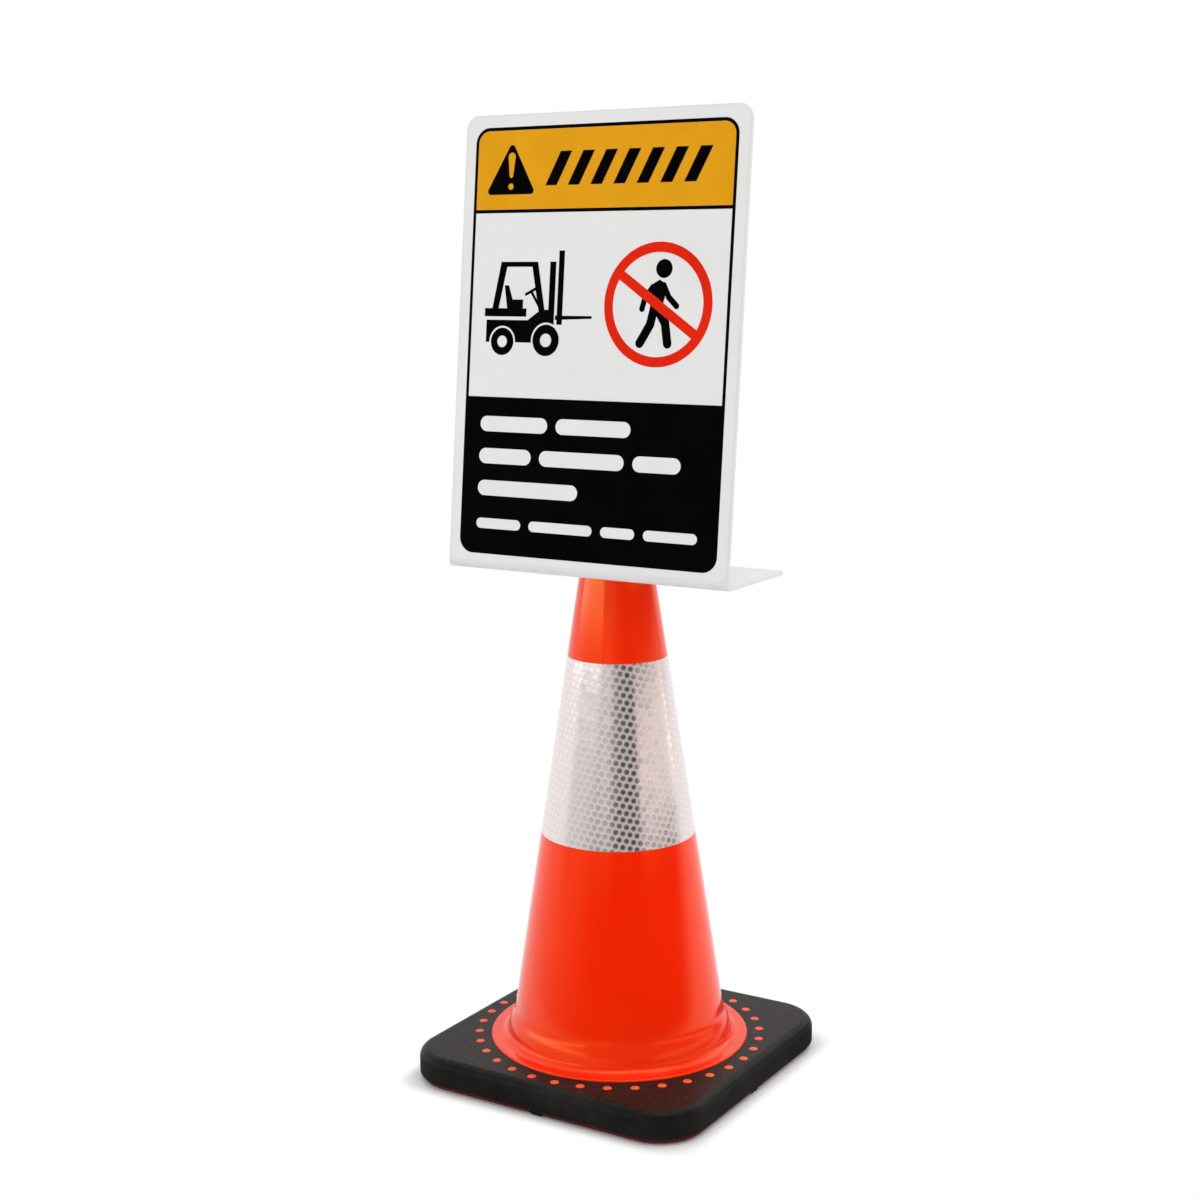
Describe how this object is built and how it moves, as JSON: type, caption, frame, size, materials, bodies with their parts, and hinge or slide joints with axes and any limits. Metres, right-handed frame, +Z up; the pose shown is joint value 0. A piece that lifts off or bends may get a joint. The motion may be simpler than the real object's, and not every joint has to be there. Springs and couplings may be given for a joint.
{
  "type": "cone sign",
  "caption": "Bent sheet sign with a leaning picture face whose shelf drops over the tip of a traffic cone with a reflective collar, a locked foot ring and a square weighted base.",
  "frame": {"origin": "on the floor under the cone's axis, the bottom centre of the part", "axes": "+Z up along the cone's axis; the sign's face looks towards -Y and its width lies along X"},
  "size_m": [0.26, 0.26, 0.7724],
  "materials": {
    "base_rubber": "satin moulded black, softly rounded edges",
    "pad_rubber": "matte moulded black",
    "cone_pvc": "glossy fluorescent orange-red vinyl",
    "lock_pvc": "orange vinyl, slightly scuffed",
    "plate_pvc": "dull dark red vinyl",
    "collar_sheeting": "white prismatic retroreflective sheeting",
    "sign_sheet": "satin white sheet",
    "label_white": "satin white vinyl film",
    "ink_amber": "satin amber print",
    "ink_black": "satin black print",
    "ink_red": "satin red print"
  },
  "bodies": {
    "cone": {"base_slab": "base_rubber", "foot_pads": "pad_rubber", "cone_shell": "cone_pvc", "lock_ring": "plate_pvc", "lock_plugs": "lock_pvc", "reflective_collar": "collar_sheeting"},
    "sign": {"sign_plate": "sign_sheet", "label_film": "label_white", "header_field": "ink_amber", "message_field": "ink_black", "border_line": "ink_black", "warning_triangle": "ink_black", "header_stripes": "ink_black", "forklift_symbol": "ink_black", "pedestrian_symbol": "ink_black", "prohibition_ring": "ink_red", "message_bars": "label_white"}
  },
  "joints": [
    {"name": "sign_lift", "type": "slide", "parent": "cone", "child": "sign", "axis": [0, 0, 1], "range_m": [0, 0.07]}
  ]
}
